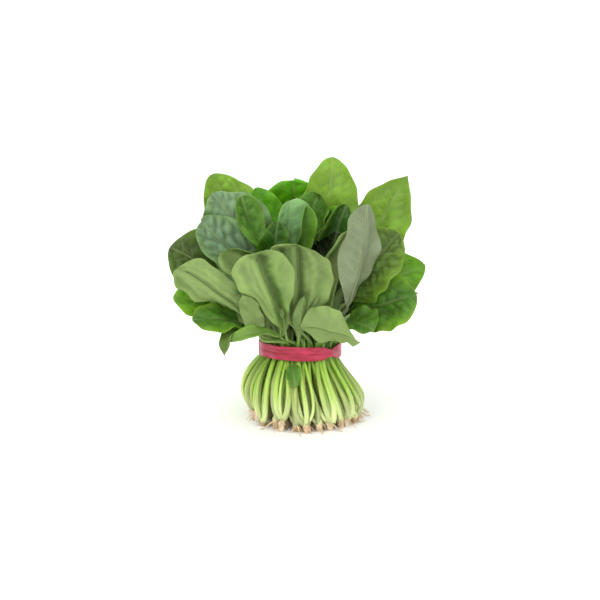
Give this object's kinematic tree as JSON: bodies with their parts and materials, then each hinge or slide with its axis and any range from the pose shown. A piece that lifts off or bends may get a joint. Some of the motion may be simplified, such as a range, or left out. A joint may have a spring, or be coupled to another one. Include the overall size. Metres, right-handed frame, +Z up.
{
  "type": "spinach bunch",
  "caption": "Bunch of whole young spinach plants with pale stalks and cut pink roots, held at the waist by a doubled rubber band, standing on its splayed roots.",
  "frame": {"origin": "middle of the flat cut end of the central plant's root, which rests on the floor", "axes": "+Z up along the bunch; -Y towards the front, where the broad leaf backs face; +X to the right seen from the front"},
  "size_m": [0.2242, 0.1967, 0.2304],
  "materials": {
    "leaf_green": "satin leaf",
    "root_pink": "matt root",
    "rubber_red": "satin rubber"
  },
  "bodies": {
    "root": {"plant_outer_1": "leaf_green", "root_outer_1": "root_pink", "plant_outer_2": "leaf_green", "root_outer_2": "root_pink", "plant_outer_3": "leaf_green", "root_outer_3": "root_pink", "plant_outer_4": "leaf_green", "root_outer_4": "root_pink", "plant_outer_5": "leaf_green", "root_outer_5": "root_pink", "plant_outer_6": "leaf_green", "root_outer_6": "root_pink", "plant_outer_7": "leaf_green", "root_outer_7": "root_pink", "plant_outer_8": "leaf_green", "root_outer_8": "root_pink", "plant_outer_9": "leaf_green", "root_outer_9": "root_pink", "plant_outer_10": "leaf_green", "root_outer_10": "root_pink", "plant_outer_11": "leaf_green", "root_outer_11": "root_pink", "plant_outer_12": "leaf_green", "root_outer_12": "root_pink", "plant_outer_13": "leaf_green", "root_outer_13": "root_pink", "plant_outer_14": "leaf_green", "root_outer_14": "root_pink", "plant_middle_1": "leaf_green", "root_middle_1": "root_pink", "plant_middle_2": "leaf_green", "root_middle_2": "root_pink", "plant_middle_3": "leaf_green", "root_middle_3": "root_pink", "plant_middle_4": "leaf_green", "root_middle_4": "root_pink", "plant_middle_5": "leaf_green", "root_middle_5": "root_pink", "plant_heart_1": "leaf_green", "root_heart_1": "root_pink", "rubber_band": "rubber_red"}
  },
  "joints": []
}
